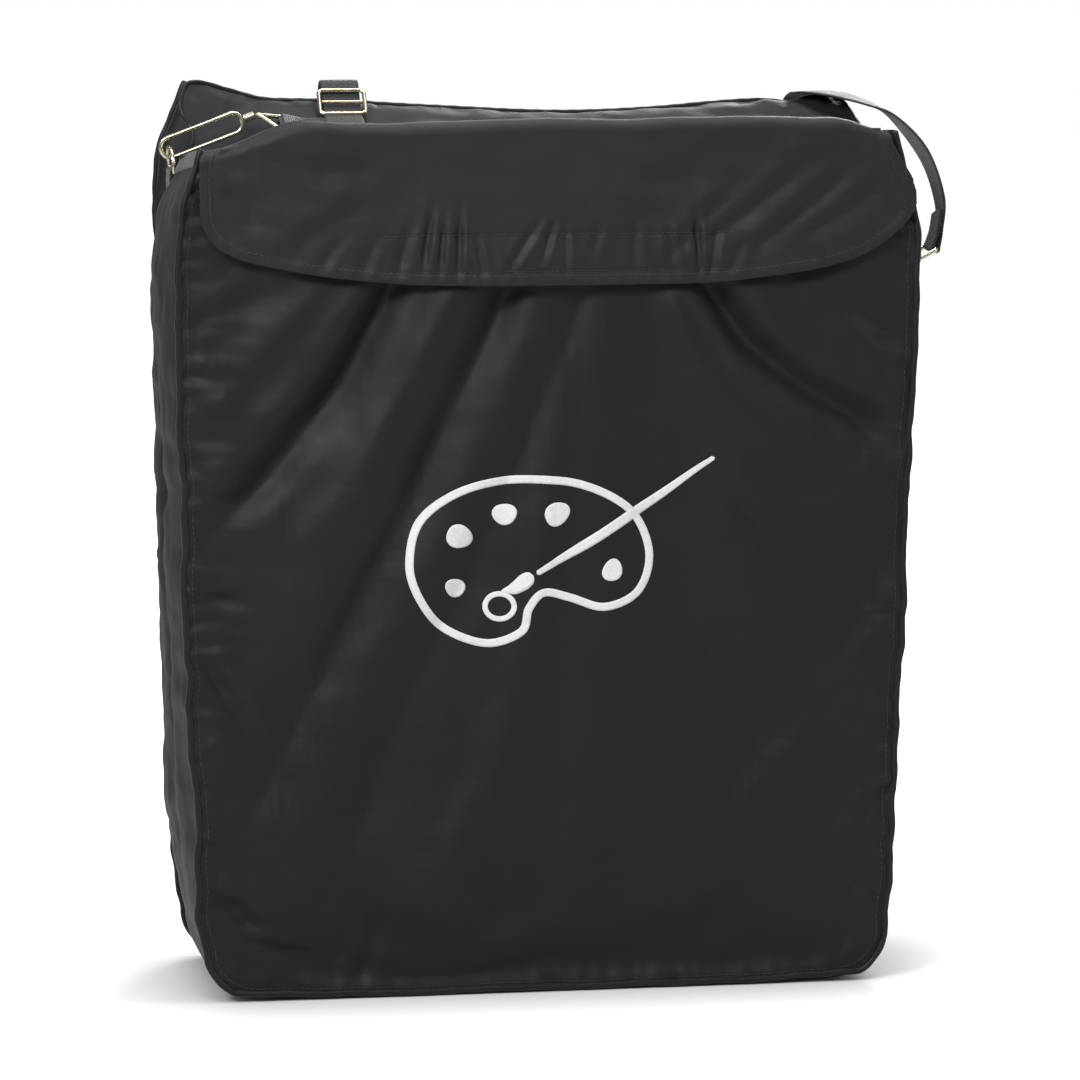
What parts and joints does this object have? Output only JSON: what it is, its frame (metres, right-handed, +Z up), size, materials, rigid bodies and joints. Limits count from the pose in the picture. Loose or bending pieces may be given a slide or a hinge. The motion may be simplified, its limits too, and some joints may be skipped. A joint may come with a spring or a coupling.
{
  "type": "portfolio case",
  "caption": "Soft upright carrying case with a front flap, hook-and-loop closure, gusseted sides and a clip-on webbing shoulder strap.",
  "frame": {"origin": "middle of the underside of the base, where the case stands", "axes": "+Z up; +Y towards the back panel, the flap hangs on the -Y side; +X to the right seen from the front"},
  "size_m": [0.5134, 0.1885, 0.5847],
  "materials": {
    "outer_cloth": "woven nylon, soft sheen",
    "lining_cloth": "plain woven, matt",
    "corded_seam": "woven, soft sheen",
    "binding_tape": "ribbed tape",
    "stiff_board": "matt sheet",
    "hook_and_loop": "fuzzy strip",
    "webbing": "ribbed webbing",
    "plated_wire": "pale plated, satin"
  },
  "bodies": {
    "case": {"front_panel": "outer_cloth", "back_panel": "outer_cloth", "left_gusset": "outer_cloth", "right_gusset": "outer_cloth", "front_piping": "corded_seam", "back_piping": "corded_seam", "base_board": "stiff_board", "rear_top_panel": "outer_cloth", "mouth_binding_front": "binding_tape", "mouth_binding_left": "binding_tape", "mouth_binding_right": "binding_tape", "loop_strip": "hook_and_loop", "seam_tape_front": "binding_tape", "seam_tape_back": "binding_tape", "ring_tab_left": "webbing", "ring_tab_right": "webbing", "tab_patch_left": "outer_cloth", "tab_patch_right": "outer_cloth", "hook_swivel": "plated_wire", "hook_eye": "plated_wire", "strap_left_webbing": "webbing", "strap_right_webbing": "webbing"},
    "flap_top": {"flap_top_panel": "outer_cloth", "flap_top_lining": "lining_cloth"},
    "flap_front": {"flap_front_panel": "outer_cloth", "flap_front_lining": "lining_cloth", "flap_hook_strip": "hook_and_loop"},
    "strap_loop": {"strap_loop_webbing": "webbing"},
    "ring_left": {"d_ring_left": "plated_wire"},
    "ring_right": {"rect_ring_right": "plated_wire"},
    "hook": {"hook_body": "plated_wire"},
    "gate": {"hook_gate": "plated_wire"},
    "slider": {"slider_frame": "plated_wire", "slider_bar": "plated_wire"}
  },
  "joints": [
    {"name": "flap_lift", "type": "hinge", "parent": "case", "child": "flap_top", "pos_m": [0, 0.02, 0.5536], "axis": [-1, 0, 0], "range_deg": [0, 90]},
    {"name": "flap_fold", "type": "hinge", "parent": "flap_top", "child": "flap_front", "pos_m": [0, -0.0775, 0.567], "axis": [-1, 0, 0], "range_deg": [0, 90]},
    {"name": "strap_swing", "type": "hinge", "parent": "case", "child": "strap_loop", "pos_m": [0, 0.08, 0.58], "axis": [1, 0, 0], "range_deg": [0, 170]},
    {"name": "ring_left_swing", "type": "hinge", "parent": "case", "child": "ring_left", "pos_m": [-0.23258, 0.0364, 0.5282], "axis": [0, 1, 0], "range_deg": [-6, 12]},
    {"name": "ring_right_swing", "type": "hinge", "parent": "case", "child": "ring_right", "pos_m": [0.2508, -0.01, 0.469], "axis": [0, 1, 0], "range_deg": [0, 20]},
    {"name": "hook_turn", "type": "hinge", "parent": "case", "child": "hook", "pos_m": [-0.21351, 0.0364, 0.55195], "axis": [0.9363, 0, 0.3511], "range_deg": [-15, 15]},
    {"name": "gate_open", "type": "hinge", "parent": "hook", "child": "gate", "pos_m": [-0.20609, 0.0364, 0.56178], "axis": [0, -1, 0], "range_deg": [0, 12]},
    {"name": "slider_slide", "type": "slide", "parent": "case", "child": "slider", "axis": [0, 0.6428, 0.766], "range_m": [0, 0.008]}
  ]
}
